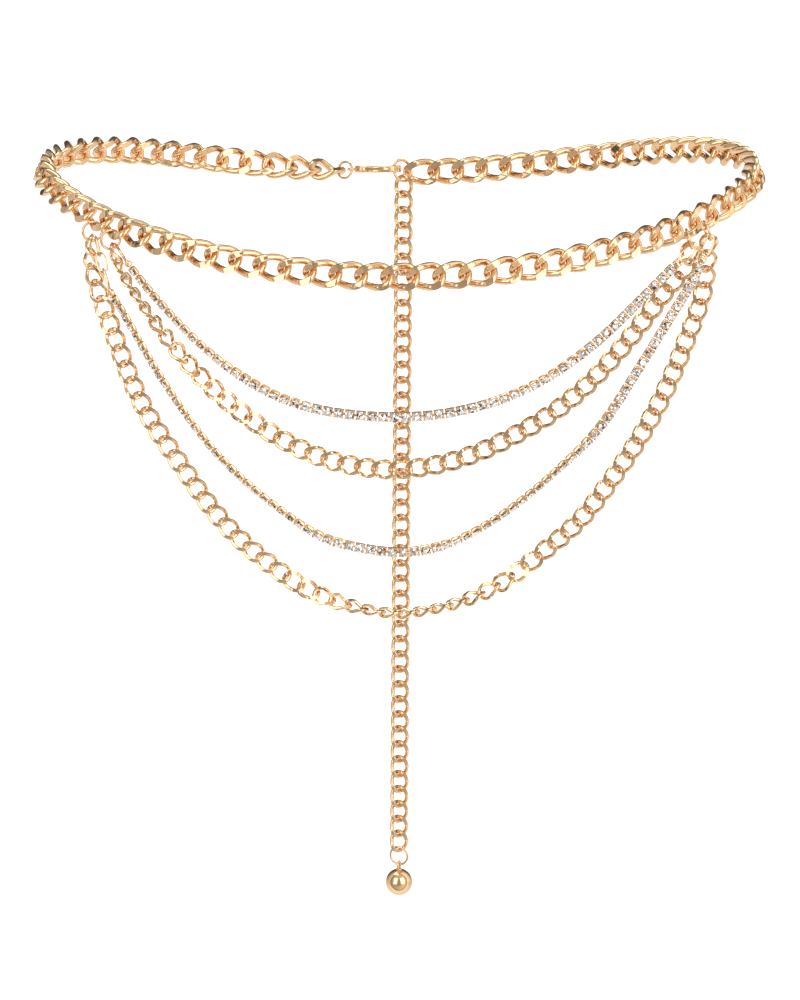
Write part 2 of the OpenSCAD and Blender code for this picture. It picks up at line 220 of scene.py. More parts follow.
def belt_at(t):
    return Vector(
        (
            BELT_HALF_X * sin(t),
            -BELT_HALF_Y * cos(t),
            BELT_SIDE_Z - FRONT_FALL * max(0, cos(t)) ** 1.8 - BACK_FALL * max(0, -cos(t)) ** 3,
        )
    )


belt_marks = runs([belt_at(k / 2 - 180) for k in range(721)], 360)
belt_round = belt_marks[-1][0]
belt_gaps = round((belt_round - LEFT_END - RIGHT_END) / BELT_SPACING)
belt_pitch = (belt_round - LEFT_END - RIGHT_END) / belt_gaps
belt_length = belt_pitch + 2 * BELT_WIRE + BELT_PLAY
front_link = round((belt_round / 2 - LEFT_END) / belt_pitch)


def belt_frame(i):
    t = lookup(LEFT_END + i * belt_pitch, belt_marks) - 180
    along = belt_at(t + 1) - belt_at(t - 1)
    turn = END_TURNS[i] if i < len(END_TURNS) else 0
    return frame_at(belt_at(t), along, along.cross(Vector((0, 0, 1))), SIDE_LEAN * sin(t) ** 2 + turn)


belt_frames = [belt_frame(i) for i in range(belt_gaps + 1)]

JOIN_LINK, GAP, HANG = 12, 0.15, 0.28
SWAG_RING_SIZE, SWAG_RING_WIRE = 8.0, 1.0
swag_ring_mid = (SWAG_RING_SIZE - SWAG_RING_WIRE) / 2


def swag_ring_frame(side, step):
    seat = belt_frames[front_link + side * (JOIN_LINK + step)]
    skew = math.degrees(math.atan2(2 * TWIST_SHARE * BELT_WIRE, (belt_length - BELT_WIRE) / 2))
    axis = cos(skew) * seat[1] + sin(skew) * seat[3]
    drop = (BELT_WIDTH - BELT_WIRE) / 2 - (BELT_WIRE + SWAG_RING_WIRE) / 2 - GAP + swag_ring_mid
    return seat[0] - drop * seat[2], seat[2].cross(axis), seat[2], axis


swag_rings = {
    "left_inner": swag_ring_frame(-1, 0),
    "left_outer": swag_ring_frame(-1, 1),
    "right_inner": swag_ring_frame(1, 0),
    "right_outer": swag_ring_frame(1, 1),
}


def ring_seat(seat, wire, swing, leave):
    spot = local(seat, swag_ring_mid * sin(swing), -swag_ring_mid * cos(swing))
    return spot - ((SWAG_RING_WIRE + wire) / 2 + HANG) * (leave - spot).normalized()


def swag_route(rows, rings, wire, swings, rolls):
    left, right = (swag_rings[name] for name in rings)
    mid = (left[0] + right[0]) / 2
    part = (right[0] - left[0]).length / 200
    path = [(mid.x + x * part, mid.y + y * part, mid.z + z * part, roll) for x, y, z, roll in rows]
    start = ring_seat(left, wire, swings[0], Vector(path[0][:3]))
    end = ring_seat(right, wire, swings[1], Vector(path[-1][:3]))
    return Route([(*start, rolls[0]), *path, (*end, rolls[1])])


INNER, OUTER = ("left_inner", "right_inner"), ("left_outer", "right_outer")

# Rows of x, y, z and roll from the middle between the rings, in hundredths of half their distance
upper_cup = swag_route(
    [
        (-94, -2.4, -8, -70), (-83, -2.4, -22, -70), (-69, -2.4, -37, -70),
        (-55.5, -2.4, -48, -35), (-41.5, -2.4, -56, -35), (-27.5, -2.4, -60.5, 0),
        (-13.5, -2.4, -62.5, 0), (0.5, -2.4, -63, 0), (14, -2.4, -62, 0), (28, -2.4, -59, 0),
        (41.5, -2.4, -54, -35), (55.5, -2.4, -46, -35), (69.5, -2.4, -35, 0), (83, -2.4, -21.5, 0),
        (95, -2.4, -9, 0),
    ],
    INNER, LOOP_WIRE, (57, -10), (-85, 15),
)  # fmt: skip
upper_curb = swag_route(
    [
        (-96.6, 2, -11.6, 85), (-88.3, 1.4, -25.2, 85), (-75, 1, -43, 50), (-63, 1, -55.5, 30),
        (-49, 1, -67, 15), (-34.5, 1, -75.5, 0), (-21, 1, -80.5, 0), (-3.5, 1, -83, 0),
        (14, 1, -81, 0), (28, 1, -76.5, 0), (42, 1, -69.5, 0), (56, 1, -60.5, 0), (69.5, 1, -48, 0),
        (83, 1, -31.5, 0), (91.5, 1, -19.5, 0), (100.5, 1, -8.5, 0),
    ],
    INNER, CURB_WIRE, (30, 20), (135, -60),
)  # fmt: skip
lower_cup = swag_route(
    [
        (-95, -4.6, -16.8, -75), (-89, -3.4, -28.5, -75), (-78, -2.7, -48.5, -75),
        (-65, -2.7, -68, -75), (-52.5, -2.7, -82, -75), (-39, -2.7, -93.5, -75),
        (-26, -2.7, -102.5, -35), (-13, -2.7, -106.5, 0), (0.5, -2.7, -108, 0), (13, -2.7, -106, -30),
        (26, -2.7, -100, -65), (39, -2.7, -91, -65), (52, -2.7, -79.5, -65), (65.5, -2.7, -65.5, -30),
        (78.5, -2.7, -45, 0), (88.6, -2.7, -27.8, 0), (95.4, -2.7, -15.9, 0),
    ],
    OUTER, LOOP_WIRE, (40, -10), (-75, 0),
)  # fmt: skip
lower_curb = swag_route(
    [
        (-100.5, 4.4, -14.1, -36), (-93.2, 2.6, -36.4, 0), (-84.5, 0.9, -58.5, 0), (-72, 0.9, -79, 0),
        (-57.5, 0.9, -99.5, 0), (-40.5, 0.9, -115, 0), (-26, 0.9, -124, 45), (-9.5, 0.9, -129, 90),
        (1.5, 0.9, -130, 90), (17.5, 0.9, -127, 90), (33, 0.9, -120, 50), (46.5, 0.9, -109.5, 0),
        (59.5, 0.9, -98, 0), (70.5, 0.9, -83, 0), (80, 0.9, -68, 0), (88, 0.9, -52, 0),
        (94.5, 1.4, -35, 0), (99.5, 3.8, -20.5, 0),
    ],
    OUTER, CURB_WIRE, (10, 20), (-86, -30),
)  # fmt: skip


def curb_layout(route):
    """The link length and the frames of a thin curb chain that fills its route"""
    room = route.length - CURB_WIRE - CURB_PLAY
    gaps = round(room / CURB_SPACING) - 1
    pitch = room / (gaps + 1)
    size = pitch + 2 * CURB_WIRE + CURB_PLAY
    half = (size - CURB_WIRE) / 2
    return size, [route.frame(half + i * pitch, half) for i in range(gaps + 1)]


LOOP_LENGTH, LOOP_WIDTH, LOOP_PLAY = 8.0, 4.2, 0.4
loop_half = (LOOP_LENGTH - LOOP_WIRE) / 2
loop_spacing = LOOP_LENGTH - 2 * LOOP_WIRE - LOOP_PLAY


def lead_length(count):
    return 2 * loop_half + (count - 1) * loop_spacing + LOOP_WIRE / 2 + GAP


def lead_frames(route, counts):
    left = [loop_half + i * loop_spacing for i in range(counts[0])]
    right = [route.length - loop_half - i * loop_spacing for i in range(counts[1])]
    return [spun(route.frame(s, loop_half), 90 * i) for ends in (left, right) for i, s in enumerate(ends)]


def in_plane(v, normal):
    return (v - v.dot(normal) * normal).normalized()


CLASP_RING_SIZE, CLASP_RING_WIRE = 7.2, 0.9
END_RING_SIZE, END_RING_WIRE = 9.3, 1.1
BALL_RING_SIZE, BALL_RING_WIRE = 7.9, 0.9
EXTENDER_COUNT, EXTENDER_LEAN = 44, 0.4
EXTENDER_DOWN = Vector((-sin(EXTENDER_LEAN), 0, -cos(EXTENDER_LEAN)))
CLASP_WIDTH, CLASP_THICK, CLASP_BAR = 8.0, 2.6, 1.5
BALL_SIZE, BALL_EYE_MID, BALL_EYE_WIRE, BALL_RING_TURN = 10.4, 1.4, 0.9, -20

belt_half = (belt_length - BELT_WIRE) / 2
end_axis = Vector((0.6, -0.7, 0.38)).normalized()
end_mid = (END_RING_SIZE - END_RING_WIRE) / 2
end_seat = local(belt_frames[-1], belt_half - (BELT_WIRE + END_RING_WIRE) / 2 - HANG)
end_to_clasp = in_plane(belt_frames[-1][1], end_axis)
end_place = end_seat + end_mid * end_to_clasp
hook_place = end_place + end_mid * end_to_clasp
clasp_axis = Vector((0.55, 0.75, -0.35)).normalized()
clasp_ring_mid = (CLASP_RING_SIZE - CLASP_RING_WIRE) / 2
clasp_seat = local(belt_frames[0], (BELT_WIRE + CLASP_RING_WIRE) / 2 + GAP - belt_half)
ring_to_clasp = in_plane(-belt_frames[0][1], clasp_axis)
clasp_ring_place = clasp_seat + clasp_ring_mid * ring_to_clasp
eye_place = clasp_ring_place + clasp_ring_mid * ring_to_clasp
clasp_frame = frame_at(eye_place, hook_place - eye_place, Vector((0, 0.25, 1)))
clasp_reach = (hook_place - eye_place).length
down_ring = in_plane(Vector((0, 0, -1)), end_axis)
extender_seat = end_place + (end_mid - (END_RING_WIRE + EXTENDER_WIRE) / 2 - 2 * HANG) * down_ring
extender_length = EXTENDER_SPACING + 2 * EXTENDER_WIRE + EXTENDER_PLAY
extender_half = (extender_length - EXTENDER_WIRE) / 2
extender_end = extender_seat + (2 * extender_half + (EXTENDER_COUNT - 1) * EXTENDER_SPACING) * EXTENDER_DOWN
ball_ring_mid = (BALL_RING_SIZE - BALL_RING_WIRE) / 2
ball_ring_place = extender_end + Vector((0, 0, (EXTENDER_WIRE + BALL_RING_WIRE) / 2 + HANG - ball_ring_mid))
ball_eye_place = ball_ring_place - Vector(
    (0, 0, ball_ring_mid + BALL_EYE_MID - (BALL_EYE_WIRE + BALL_RING_WIRE) / 2 - GAP)
)
ball_place = ball_eye_place - Vector((0, 0, BALL_EYE_MID + BALL_SIZE / 2 + 0.2))


def extender_frame(i):
    point = extender_seat + (extender_half + i * EXTENDER_SPACING) * EXTENDER_DOWN
    return frame_at(point, EXTENDER_DOWN, Vector((0, -1, 0)))


def ring_frame(point, axis):
    return frame_at(point, axis.cross(Vector((0, 0, 1))), axis)


# Modelling


def clear_selection():
    if bpy.context.object and bpy.context.object.mode != "OBJECT":
        bpy.ops.object.mode_set(mode="OBJECT")
    bpy.ops.object.select_all(action="DESELECT")


def named(name):
    """The new object, named, selected alone and active"""
    ob = bpy.context.object
    ob.name = ob.data.name = name
    return ob


def pick(ob):
    clear_selection()
    ob.select_set(True)
    bpy.context.view_layer.objects.active = ob


def joined(name, parts):
    clear_selection()
    for part in parts:
        part.select_set(True)
    bpy.context.view_layer.objects.active = parts[0]
    if len(parts) > 1:
        bpy.ops.object.join()
    return named(name)


def edges_shown(ob, degrees):
    """Smooth shading that keeps the edges sharper than an angle"""
    pick(ob)
    bpy.ops.object.shade_smooth_by_angle(angle=math.radians(degrees))
    return ob


def cleaned(ob):
    """Doubles merged and faces turned outwards"""
    pick(ob)
    bpy.ops.object.mode_set(mode="EDIT")
    bpy.ops.mesh.select_all(action="SELECT")
    bpy.ops.mesh.remove_doubles(threshold=0.000002)
    bpy.ops.mesh.normals_make_consistent(inside=False)
    bpy.ops.object.mode_set(mode="OBJECT")
    return ob


def curve_through(name, points, closed):
    """A smooth curve through points in millimetres; a closed one takes a multiple of four"""
    clear_selection()
    if closed:
        bpy.ops.curve.primitive_bezier_circle_add(radius=MM)
    else:
        bpy.ops.curve.primitive_bezier_curve_add(radius=MM)
    ob = named(name)
    cuts = len(points) // 4 - 1 if closed else len(points) - 2
    bpy.ops.object.mode_set(mode="EDIT")
    bpy.ops.curve.select_all(action="SELECT")
    if cuts:
        bpy.ops.curve.subdivide(number_cuts=cuts)
    bpy.ops.object.mode_set(mode="OBJECT")
    knots = ob.data.splines[0].bezier_points
    if len(knots) != len(points):
        raise RuntimeError(f"{name} has {len(knots)} knots for {len(points)} points")
    for knot, point in zip(knots, points):
        knot.handle_left_type = knot.handle_right_type = "AUTO"
        knot.co = Vector(point) * MM
    return ob


def bent_wire(name, points, wire, closed=True, between=2, roundness=2):
    """Round wire bent through points in millimetres"""
    ob = curve_through(name, points, closed)
    ob.data.dimensions = "3D"
    ob.data.resolution_u = between
    ob.data.bevel_depth = wire / 2 * MM
    ob.data.bevel_resolution = roundness
    ob.data.use_fill_caps = not closed
    bpy.ops.object.convert(target="MESH")
    return cleaned(bpy.context.object)


def rounded(ob, width):
    """Every edge rounded over a width in millimetres"""
    pick(ob)
    bpy.ops.object.modifier_add(type="BEVEL")
    bevel = ob.modifiers[-1]
    bevel.width = width * MM
    bevel.segments = 3
    bpy.ops.object.modifier_apply(modifier=bevel.name)
    return ob


def select_facing(ob, way, share):
    """Selects the faces whose normal points along Z (way 1) or against it (-1), and stays in edit mode"""
    bpy.ops.object.mode_set(mode="EDIT")
    bpy.ops.mesh.select_all(action="DESELECT")
    bpy.ops.object.mode_set(mode="OBJECT")
    for face in ob.data.polygons:
        face.select = face.normal.z * way > share
    bpy.ops.object.mode_set(mode="EDIT")


def fuller(x, power):
    """A sine or cosine made larger between 0 and 1, so that an oval's ends get squarer"""
    return math.copysign(abs(x) ** power, x)


def cut_flats(ob, thick):
    """Takes the metal beyond the chain's thickness off both faces, as the cutter does"""
    pick(ob)
    for side in (1, -1):
        bpy.ops.object.mode_set(mode="EDIT")
        bpy.ops.mesh.select_all(action="SELECT")
        bpy.ops.mesh.bisect(
            plane_co=(0, 0, side * thick / 2 * MM), plane_no=(0, 0, side), use_fill=True, clear_outer=True
        )
        bpy.ops.object.mode_set(mode="OBJECT")
    return cleaned(ob)


def twist(a):
    """Rise of a twisted link's wire round the link, from -1 to 1"""
    return sin(2 * a) - 0.1 * sin(4 * a)


# Powers that make an oval's ends squarer: nearly none for a link, more for a cup chain's loop
LINK_FULLNESS, LOOP_FULLNESS = 0.96, 0.85
# Knots round a link, steps between two knots and roundness of the wire; thin chains need fewer faces
BELT_STEPS, CURB_STEPS, EXTENDER_STEPS = (16, 3, 4), (12, 3, 2), (16, 2, 3)


def curb_link(name, size, wire, thick, steps):
    """One twisted curb link with its cut flats"""
    knots, between, roundness = steps
    half_x, half_y = (size[0] - SNUG * wire - wire) / 2, (size[1] - wire) / 2
    points = []
    for k in range(knots):
        a = 360 * k / knots
        rise = -TWIST_SHARE * wire * twist(a)
        points.append((half_x * fuller(cos(a), LINK_FULLNESS), half_y * fuller(sin(a), LINK_FULLNESS), rise))
    link = bent_wire(name, points, wire, True, between, roundness)
    return edges_shown(cut_flats(link, thick), 42)


def repeated(name, pattern, seats):
    """Copies of one pattern at each seat, each with its own mesh, joined into one piece"""
    copies = []
    for seat in seats:
        ob = pattern.copy()
        ob.data = pattern.data.copy()
        bpy.context.collection.objects.link(ob)
        ob.data.transform(to_world(seat))
        copies.append(ob)
    bpy.data.objects.remove(pattern)
    return joined(name, copies)


def settled(ob, seat):
    """The shape moved to its seat, with the object left at the origin"""
    ob.data.transform(to_world(seat))
    return ob


RING_KNOTS, HALF_SLIT = 24, 1.2


def jump_ring(name, size, wire, slit):
    """A round ring with the fine slit where it was closed; slit is where, in degrees"""
    mid = (size - wire) / 2
    turns = [slit + HALF_SLIT + (360 - 2 * HALF_SLIT) * k / RING_KNOTS for k in range(RING_KNOTS + 1)]
    ring = bent_wire(name, [(mid * cos(a), mid * sin(a), 0) for a in turns], wire, False, 2, 3)
    return edges_shown(ring, 40)


def finish_piece(ob, body, slot, material, *nodes):
    ob.data.materials.clear()
    ob.data.materials.append(material)
    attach(ob, body)
    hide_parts(*nodes)


# Materials


def add_node(tree, kind, settings=None, **links):
    """A node with its settings; links names an input and what feeds it or its value"""
    node = tree.nodes.new(kind)
    for key, value in (settings or {}).items():
        setattr(node, key, value)
    for key, value in links.items():
        socket = node.inputs[key.replace("_", " ")] if not key.startswith("in") else node.inputs[int(key[2:])]
        if isinstance(value, bpy.types.NodeSocket):
            tree.links.new(value, socket)
        else:
            socket.default_value = value
    return node


def blank_material(name):
    material = bpy.data.materials.get(name) or bpy.data.materials.new(name)
    material.use_nodes = True
    tree = material.node_tree
    tree.nodes.clear()
    return material, tree


def plated_gold(name, roughness, wave):
    """Polished gold plating: it mirrors the studio, with fine marks and a redder tone in places"""
    values = bpy.context.scene.waist_chain_gold
    material, tree = blank_material(name)
    place = add_node(tree, "ShaderNodeTexCoord").outputs["Object"]
    # Tone drifts over a few links, about 12 mm
    drift = add_node(tree, "ShaderNodeTexNoise", Vector=place, Scale=85.0, Detail=2.0, Roughness=0.5)
    tone = add_node(tree, "ShaderNodeMix", {"data_type": "RGBA"}, in0=drift.outputs[0])
    tone.inputs[6].default_value = (*values.light, 1)
    tone.inputs[7].default_value = (*values.deep, 1)
    # Polishing leaves the metal slightly wavy, about 2 mm from crest to crest
    swell = add_node(tree, "ShaderNodeTexNoise", Vector=place, Scale=480.0, Detail=1.0, Roughness=0.4)
    # Fine handling marks, drawn at 0.3 mm so that they show
    marks = add_node(tree, "ShaderNodeTexNoise", Vector=place, Scale=3200.0, Detail=3.0, Roughness=0.7)
    dullest = roughness + 0.09
    spread = add_node(
        tree, "ShaderNodeMapRange", in0=marks.outputs[0], in1=0.35, in2=0.75, in3=roughness, in4=dullest
    )
    rise = add_node(tree, "ShaderNodeBump", Strength=wave, Distance=0.0002, Height=swell.outputs[0])
    shader = add_node(
        tree,
        "ShaderNodeBsdfPrincipled",
        Base_Color=tone.outputs[2],
        Metallic=1.0,
        Roughness=spread.outputs[0],
        Normal=rise.outputs[0],
    )
    add_node(tree, "ShaderNodeOutputMaterial", Surface=shader.outputs[0])
    return material


# Painted dark reflection: the colour given to the stones' dark facet patches
PAINTED_DARK_REFLECTION = "#6E655C"


def foiled_crystal(name):
    """Cut crystal over a foil back: hard white and dark facets, hardly any body colour; some dark facets are
    a painted dark reflection in the colour
    """
    values = bpy.context.scene.waist_chain_cups
    material, tree = blank_material(name)
    place = add_node(tree, "ShaderNodeTexCoord").outputs["Object"]
    facing = add_node(tree, "ShaderNodeNewGeometry").outputs["Normal"]
    # The pavilion's facets, seen through the table, break the light into patches under a millimetre wide
    cells = add_node(tree, "ShaderNodeTexVoronoi", Vector=place, Scale=1150.0).outputs["Color"]
    centred = add_node(
        tree, "ShaderNodeVectorMath", {"operation": "SUBTRACT"}, in0=cells, in1=(0.5, 0.5, 0.5)
    )
    tilt = add_node(tree, "ShaderNodeVectorMath", {"operation": "SCALE"}, in0=centred.outputs[0], Scale=1.2)
    bent = add_node(tree, "ShaderNodeVectorMath", {"operation": "ADD"}, in0=facing, in1=tilt.outputs[0])
    facet = add_node(tree, "ShaderNodeVectorMath", {"operation": "NORMALIZE"}, in0=bent.outputs[0])
    # About one patch in ten gets a painted dark reflection, standing in for a look past the foil into the
    # dark cup
    channel = add_node(tree, "ShaderNodeSeparateColor", in0=cells)
    painted_dark_mask = add_node(tree, "ShaderNodeMapRange", in0=channel.outputs[2], in1=0.9, in2=0.92)
    shown = add_node(tree, "ShaderNodeMix", {"data_type": "RGBA"}, in0=painted_dark_mask.outputs[0])
    shown.inputs[6].default_value = (*values.shine, 1)
    shown.inputs[7].default_value = (*srgb(PAINTED_DARK_REFLECTION), 1)
    shader = add_node(
        tree,
        "ShaderNodeBsdfPrincipled",
        Base_Color=shown.outputs[2],
        Metallic=1.0,
        Roughness=0.03,
        Normal=facet.outputs[0],
    )
    add_node(tree, "ShaderNodeOutputMaterial", Surface=shader.outputs[0])
    return material


def gold():
    return bpy.data.materials.get("polished_gold_plating") or plated_gold("polished_gold_plating", 0.08, 0.35)


def crystal():
    return bpy.data.materials.get("foiled_crystal") or foiled_crystal("foiled_crystal")


# Pieces


class WAISTCHAIN_OT_belt(bpy.types.Operator):
    """Curb links of the belt"""

    bl_idname = "waist_chain.belt"
    bl_label = "Belt links"

    def execute(self, context):
        sizes = context.scene.waist_chain_links
        size = (belt_length, sizes.belt_width / MM)
        link = curb_link("belt_link", size, sizes.belt_wire / MM, sizes.belt_thick / MM, BELT_STEPS)
        finish_piece(repeated("belt_links", link, belt_frames), "chain", "gold_chain", gold(), "belt_chain")
        return {"FINISHED"}


class WAISTCHAIN_OT_curb_swags(bpy.types.Operator):
    """Links of the two thin curb swags"""

    bl_idname = "waist_chain.curb_swags"
    bl_label = "Thin curb swags"

    def execute(self, context):
        sizes = context.scene.waist_chain_links
        for name, route in (("upper_curb", upper_curb), ("lower_curb", lower_curb)):
            long, seats = curb_layout(route)
            size = (long, sizes.curb_width / MM)
            link = curb_link("curb_link", size, sizes.curb_wire / MM, sizes.curb_thick / MM, CURB_STEPS)
            piece = repeated(name + "_links", link, seats)
            finish_piece(piece, "chain", "gold_chain", gold(), name + "_swag")
        return {"FINISHED"}


class WAISTCHAIN_OT_extender(bpy.types.Operator):
    """Links of the extender"""

    bl_idname = "waist_chain.extender"
    bl_label = "Extender links"

    def execute(self, context):
        sizes = context.scene.waist_chain_links
        size = (extender_length, sizes.extender_width / MM)
        wire, thick = sizes.extender_wire / MM, sizes.extender_thick / MM
        link = curb_link("extender_link", size, wire, thick, EXTENDER_STEPS)
        piece = repeated("extender_links", link, [extender_frame(i) for i in range(EXTENDER_COUNT)])
        finish_piece(piece, "chain", "gold_chain", gold(), "extender_chain")
        return {"FINISHED"}


# Sizes of the cup chain's small parts, in millimetres
CUP_DEPTH, CUP_DROP, CUP_CORNER, CUP_WALL, SEAT_DEPTH = 1.7, 0.35, 0.7, 0.14, 0.7
PRONG_RADIUS, PRONG_HEIGHT, PRONG_TIP, PRONG_LEAN = 0.27, 1.5, 0.22, 16
GIRDLE, STONE_RISE = 0.2, 0.75
CAP_LENGTH, CAP_WIDTH, CAP_THICK, CAP_CORNER, CAP_ROOM = 2.0, 2.9, 2.2, 0.55, 2.5
NOSE_START, NOSE_RADIUS, NOSE_WIRE = 0.7, 1.3, 0.8
BAR_HALF, BAR_WIRE, BAR_DROP = 1.0, 0.8, 0.3


def stone_cup(width):
    """A square cup with rounded corners, a seat for the stone and four corner prongs"""
    clear_selection()
    bpy.ops.mesh.primitive_cube_add(size=1)
    cup = named("cup")
    cup.scale = (width * MM, width * MM, CUP_DEPTH * MM)
    cup.location = (0, 0, -CUP_DROP * MM)
    bpy.ops.object.transform_apply(location=True, rotation=True, scale=True)
    bpy.ops.object.mode_set(mode="EDIT")
    bpy.ops.mesh.select_all(action="DESELECT")
    bpy.ops.object.mode_set(mode="OBJECT")
    for edge in cup.data.edges:
        a, b = (cup.data.vertices[k].co for k in edge.vertices)
        edge.select = abs(a.z - b.z) > MM
    bpy.ops.object.mode_set(mode="EDIT")
    bpy.ops.mesh.bevel(offset=CUP_CORNER * MM, segments=2)
    select_facing(cup, 1, 0.9)
    bpy.ops.mesh.inset(thickness=CUP_WALL * MM)
    bpy.ops.mesh.extrude_region_move(TRANSFORM_OT_translate={"value": (0, 0, -SEAT_DEPTH * MM)})
    bpy.ops.object.mode_set(mode="OBJECT")
    parts = [cup]
    for turn in (45, 135, 225, 315):
        clear_selection()
        bpy.ops.mesh.primitive_cylinder_add(vertices=6, radius=PRONG_RADIUS * MM, depth=PRONG_HEIGHT * MM)
        prong = named("prong")
        select_facing(prong, 1, 0.9)
        bpy.ops.transform.resize(value=(0.8, 0.8, 1))
        bpy.ops.mesh.extrude_region_move(TRANSFORM_OT_translate={"value": (0, 0, PRONG_TIP * MM)})
        bpy.ops.transform.resize(value=(0.5, 0.5, 1))
        bpy.ops.object.mode_set(mode="OBJECT")
        reach = width / 2 * 1.16
        lean = Matrix.Rotation(math.radians(turn), 4, "Z") @ Matrix.Translation(
            (reach * MM, 0, 0.5 * MM)
        ) @ Matrix.Rotation(math.radians(-PRONG_LEAN), 4, "Y")
        prong.data.transform(lean)
        parts.append(prong)
    return edges_shown(cleaned(joined("stone_cup", parts)), 35)


def round_stone(size):
    """A round cut stone: a table, star and bezel facets, a girdle and a pavilion"""
    clear_selection()
    bpy.ops.mesh.primitive_cylinder_add(vertices=8, radius=size / 2 * MM, depth=GIRDLE * MM)
    stone = named("round_stone")
    for up, rise, narrow, turn in ((1, 0.5, 0.68, 22.5), (1, 0.18, 0.6, 22.5), (-1, -1.1, 0.25, 0)):
        select_facing(stone, up, 0.98)
        bpy.ops.mesh.extrude_region_move(TRANSFORM_OT_translate={"value": (0, 0, rise * MM)})
        bpy.ops.transform.resize(value=(narrow, narrow, 1))
        if turn:
            bpy.ops.transform.rotate(
                value=math.radians(turn), orient_axis="Z", center_override=(0, 0, (rise + GIRDLE / 2) * MM)
            )
        bpy.ops.object.mode_set(mode="OBJECT")
    bpy.ops.object.mode_set(mode="EDIT")
    bpy.ops.mesh.select_all(action="SELECT")
    bpy.ops.mesh.quads_convert_to_tris(quad_method="BEAUTY", ngon_method="BEAUTY")
    bpy.ops.object.mode_set(mode="OBJECT")
    stone.data.transform(Matrix.Translation((0, 0, STONE_RISE * MM)))
    pick(cleaned(stone))
    bpy.ops.object.shade_flat()
    return stone


def end_cap(width):
    """The folded end piece that holds a loop: a crimped sheet with a rounded nose"""
    clear_selection()
    bpy.ops.mesh.primitive_cube_add(size=1)
    cap = named("end_cap")
    cap.scale = (CAP_LENGTH * MM, width * MM, CAP_THICK * MM)
    bpy.ops.object.transform_apply(location=True, rotation=True, scale=True)
    rounded(cap, CAP_CORNER)
    bend = [(NOSE_START + NOSE_RADIUS * cos(a), 0, NOSE_RADIUS * sin(a)) for a in (-100, -50, 0, 50, 100)]
    nose = bent_wire("nose", bend, NOSE_WIRE, False)
    nose.data.transform(Matrix.Rotation(math.radians(90), 4, "X"))
    return edges_shown(joined("end_cap", [cap, nose]), 35)


class WAISTCHAIN_OT_cup_swags(bpy.types.Operator):
    """Cups, stones, end caps and loops of the two cup chain swags"""

    bl_idname = "waist_chain.cup_swags"
    bl_label = "Cup chain swags"

    def execute(self, context):
        sizes = context.scene.waist_chain_cups
        for name, route, counts in (("upper_cup", upper_cup, (1, 1)), ("lower_cup", lower_cup, (3, 1))):
            first, last = lead_length(counts[0]), route.length - lead_length(counts[1])
            room = last - first - 2 * CAP_ROOM
            count = round(room / (sizes.pitch / MM))
            pitch = room / count
            seats = [route.frame(first + CAP_ROOM + (k + 0.5) * pitch, pitch / 2) for k in range(count)]
            caps = [route.frame(first + 1.3, 1.1), route.frame(last - 1.3, 1.1)]
            caps[0] = (caps[0][0], -caps[0][1], -caps[0][2], caps[0][3])
            metal = [
                repeated("cups", stone_cup(sizes.cup_width / MM), seats),
                repeated("caps", end_cap(CAP_WIDTH), caps),
            ]
            bars = [
                (a[0] * 0.5 + b[0] * 0.5 - BAR_DROP * a[3], *a[1:]) for a, b in zip(seats, seats[1:])
            ]
            bar = bent_wire("bar", [(x * BAR_HALF, 0, 0) for x in (-1.0, -0.3, 0.3, 1.0)], BAR_WIRE, False)
            metal.append(repeated("bars", edges_shown(bar, 40), bars))
            turns = [360 * k / 16 for k in range(16)]
            half_width = (LOOP_WIDTH - LOOP_WIRE) / 2
            shape = [
                (loop_half * fuller(cos(a), LOOP_FULLNESS), half_width * fuller(sin(a), LOOP_FULLNESS), 0)
                for a in turns
            ]
            loop = edges_shown(bent_wire("loop", shape, LOOP_WIRE), 40)
            metal.append(repeated("loops", loop, lead_frames(route, counts)))
            piece = joined(name + "_settings", metal)
            finish_piece(piece, "chain", "cup_chain", gold(), name + "_swag")
            stones = repeated(name + "_stones", round_stone(sizes.stone / MM), seats)
            finish_piece(stones, "chain", "clear_stone", crystal(), name + "_swag")
        return {"FINISHED"}


class WAISTCHAIN_OT_rings(bpy.types.Operator):
    """The jump rings that join the chains"""

    bl_idname = "waist_chain.rings"
    bl_label = "Jump rings"

    def execute(self, context):
        rings = [
            ("swag_ring_" + name, SWAG_RING_SIZE, SWAG_RING_WIRE, seat, 100)
            for name, seat in swag_rings.items()
        ]
        rings += [
            ("clasp_ring", CLASP_RING_SIZE, CLASP_RING_WIRE, ring_frame(clasp_ring_place, clasp_axis), 75),
            ("end_ring", END_RING_SIZE, END_RING_WIRE, ring_frame(end_place, end_axis), 100),
            (
                "ball_ring",
                BALL_RING_SIZE,
                BALL_RING_WIRE,
                ring_frame(ball_ring_place, Vector((sin(BALL_RING_TURN), -cos(BALL_RING_TURN), 0))),
                35,
            ),
        ]
        for name, size, wire, seat, slit in rings:
            ring = settled(jump_ring(name + "_wire", size, wire, slit), seat)
            finish_piece(ring, "chain", "gold_findings", gold(), name)
        return {"FINISHED"}


def cast_outline(name, points, thick, edge, between=4):
    """A flat outline in millimetres made a rounded plate of the given thickness"""
    ob = curve_through(name, [(x, y, 0) for x, y in points], True)
    ob.data.dimensions = "2D"
    ob.data.fill_mode = "BOTH"
    ob.data.resolution_u = between
    ob.data.extrude = (thick / 2 - edge) * MM
    ob.data.bevel_depth = edge * MM
    ob.data.bevel_resolution = 3
    ob.data.offset = -edge * MM
    bpy.ops.object.convert(target="MESH")
    return cleaned(bpy.context.object)


